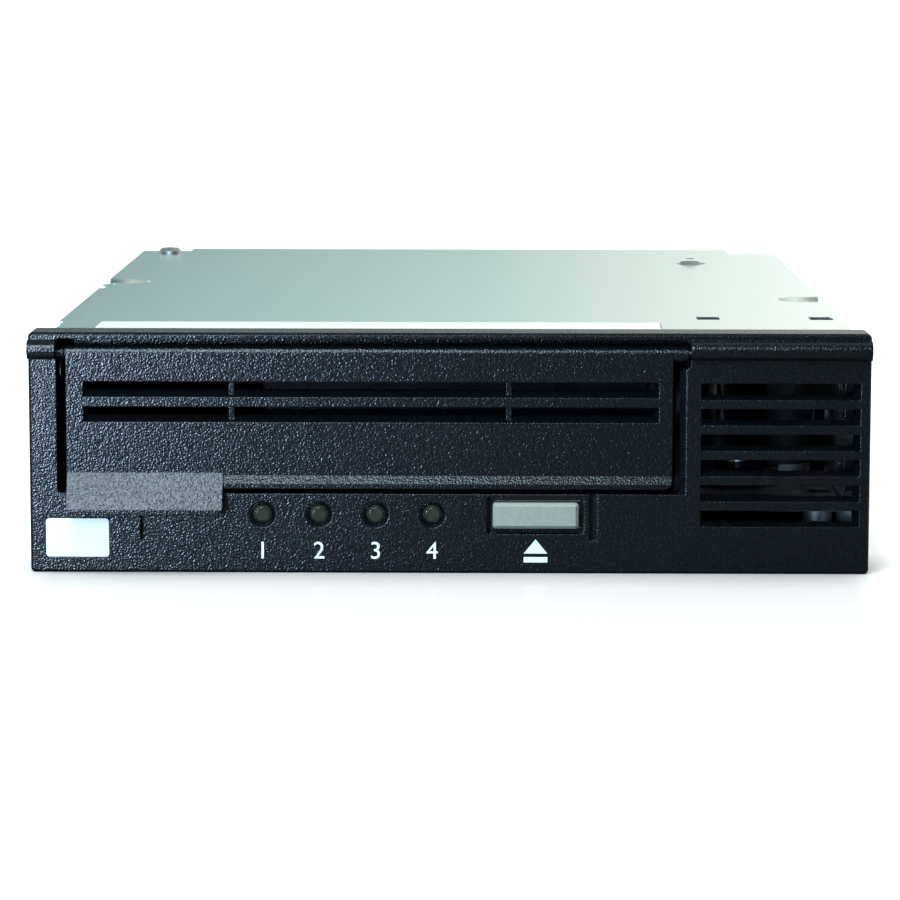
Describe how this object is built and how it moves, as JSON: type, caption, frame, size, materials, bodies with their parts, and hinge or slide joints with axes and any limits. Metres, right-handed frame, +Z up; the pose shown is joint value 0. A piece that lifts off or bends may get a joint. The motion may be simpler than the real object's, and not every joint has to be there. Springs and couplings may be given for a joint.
{
  "type": "data tape drive",
  "caption": "Half-height data tape drive in a sheet-metal chassis with a moulded bezel, hinged cartridge door, status lights, eject button and air vent.",
  "frame": {"origin": "middle of the four bottom mounting holes, on the underside of the chassis", "axes": "+X to the right seen from the front, +Y from the bezel to the rear (longest), +Z up (shortest)"},
  "size_m": [0.1486, 0.2118, 0.0428],
  "materials": {
    "bezel_plastic": "fine spark texture, charcoal",
    "badge_silver": "satin silver",
    "button_plastic": "fine matte, light grey-green",
    "lens": "clear dark lens",
    "zinc_steel": "zinc-coated sheet",
    "cover_steel": "smooth zinc-coated sheet",
    "bright_steel": "bright",
    "die_cast": "cast, slightly rough",
    "circuit_board": "green solder mask",
    "black_plastic": "matte black",
    "pale_plastic": "natural nylon",
    "reel_plastic": "filled plastic",
    "head_ceramic": "lapped, glossy",
    "brass": "turned"
  },
  "bodies": {
    "chassis": {"chassis_tray": "zinc_steel", "top_cover": "cover_steel", "cover_screws": "bright_steel", "front_bezel": "bezel_plastic", "badge_plate": "badge_silver", "eject_switch": "black_plastic", "status_lights": "lens", "front_panel_board": "circuit_board", "main_board": "circuit_board", "board_chips": "black_plastic", "rear_connector": "black_plastic", "ribbon_sockets": "pale_plastic", "panel_ribbon": "pale_plastic", "deck_plate": "die_cast", "deck_screws": "bright_steel", "guide_rail_left": "zinc_steel", "guide_rail_right": "zinc_steel", "loader_gear_post": "bright_steel", "loader_motor": "bright_steel", "supply_motor": "bright_steel", "take_up_motor": "bright_steel", "roller_posts": "bright_steel", "head_frame": "die_cast", "head_guide_rods": "bright_steel", "head_motor": "bright_steel", "threader_motor": "bright_steel", "fan_frame": "black_plastic"},
    "door": {"cartridge_door": "bezel_plastic", "door_spring": "bright_steel"},
    "button": {"eject_button": "button_plastic", "switch_plunger": "black_plastic"},
    "right_slide": {"cam_slide_right": "zinc_steel"},
    "left_slide": {"cam_slide_left": "zinc_steel"},
    "tray": {"cartridge_tray": "zinc_steel", "tray_pins": "bright_steel"},
    "gear": {"loader_gear": "pale_plastic"},
    "pinion": {"motor_pinion": "brass"},
    "supply": {"supply_hub": "bright_steel"},
    "reel": {"take_up_reel": "reel_plastic"},
    "roller_1": {"guide_roller_1": "bright_steel"},
    "roller_2": {"guide_roller_2": "bright_steel"},
    "roller_3": {"guide_roller_3": "bright_steel"},
    "roller_4": {"guide_roller_4": "bright_steel"},
    "carriage": {"head_carriage": "die_cast", "tape_head": "head_ceramic"},
    "screw": {"lead_screw": "bright_steel"},
    "threader": {"threader_arm": "zinc_steel", "grabber_pin": "bright_steel"},
    "fan": {"fan_rotor": "black_plastic"}
  },
  "joints": [
    {"name": "door_hinge", "type": "hinge", "parent": "chassis", "child": "door", "pos_m": [-0.01415, -0.09342, 0.039], "axis": [-1, 0, 0], "range_deg": [0, 90], "stiffness_Nm_per_rad": 0.006, "springref_deg": -28.65},
    {"name": "eject_press", "type": "slide", "parent": "chassis", "child": "button", "axis": [0, 1, 0], "range_m": [0, 0.0012], "stiffness_N_per_m": 500, "springref_m": -0.001},
    {"name": "loader_travel", "type": "slide", "parent": "chassis", "child": "right_slide", "axis": [0, 1, 0], "range_m": [0, 0.018]},
    {"name": "left_slide_travel", "type": "slide", "parent": "chassis", "child": "left_slide", "axis": [0, 1, 0], "range_m": [0, 0.018]},
    {"name": "tray_drop", "type": "slide", "parent": "chassis", "child": "tray", "axis": [0, 0, -1], "range_m": [0, 0.0045]},
    {"name": "loader_gear_turn", "type": "hinge", "parent": "chassis", "child": "gear", "pos_m": [0.05277, -0.05, 0.0104], "axis": [0, 0, 1], "range_deg": [-129, 0]},
    {"name": "motor_pinion_turn", "type": "hinge", "parent": "chassis", "child": "pinion", "pos_m": [0.06126, -0.04151, 0.0104], "axis": [0, 0, 1], "range_deg": [0, 258]},
    {"name": "supply_spin", "type": "hinge", "parent": "chassis", "child": "supply", "pos_m": [-0.01415, -0.0364, 0.0121], "axis": [0, 0, 1], "continuous": true},
    {"name": "reel_spin", "type": "hinge", "parent": "chassis", "child": "reel", "pos_m": [-0.024, 0.064, 0.0138], "axis": [0, 0, 1], "continuous": true},
    {"name": "roller_1_spin", "type": "hinge", "parent": "chassis", "child": "roller_1", "pos_m": [0.053, 0.002, 0.0218], "axis": [0, 0, 1], "continuous": true},
    {"name": "roller_2_spin", "type": "hinge", "parent": "chassis", "child": "roller_2", "pos_m": [0.06, 0.0165, 0.0218], "axis": [0, 0, 1], "continuous": true},
    {"name": "roller_3_spin", "type": "hinge", "parent": "chassis", "child": "roller_3", "pos_m": [0.06, 0.056, 0.0218], "axis": [0, 0, 1], "continuous": true},
    {"name": "roller_4_spin", "type": "hinge", "parent": "chassis", "child": "roller_4", "pos_m": [0.041, 0.068, 0.0218], "axis": [0, 0, 1], "continuous": true},
    {"name": "head_lift", "type": "slide", "parent": "chassis", "child": "carriage", "axis": [0, 0, 1], "range_m": [-0.0035, 0.0035]},
    {"name": "lead_screw_turn", "type": "hinge", "parent": "chassis", "child": "screw", "pos_m": [0.0657, 0.036, 0.0116], "axis": [0, 0, 1], "range_deg": [-631, 631]},
    {"name": "threader_swing", "type": "hinge", "parent": "chassis", "child": "threader", "pos_m": [0.0656, 0.07, 0.037], "axis": [0, 0, 1], "range_deg": [-44, 0]},
    {"name": "fan_spin", "type": "hinge", "parent": "chassis", "child": "fan", "pos_m": [0.0425, 0.107, 0.0205], "axis": [0, 1, 0], "continuous": true}
  ],
  "couplings": [
    {"joint": "left_slide_travel", "follows": "loader_travel", "ratio": 1},
    {"joint": "tray_drop", "follows": "loader_travel", "ratio": 0.25},
    {"joint": "loader_gear_turn", "follows": "loader_travel", "rad_per_m": -125},
    {"joint": "motor_pinion_turn", "follows": "loader_travel", "rad_per_m": 250},
    {"joint": "lead_screw_turn", "follows": "head_lift", "rad_per_m": -3141.6}
  ]
}
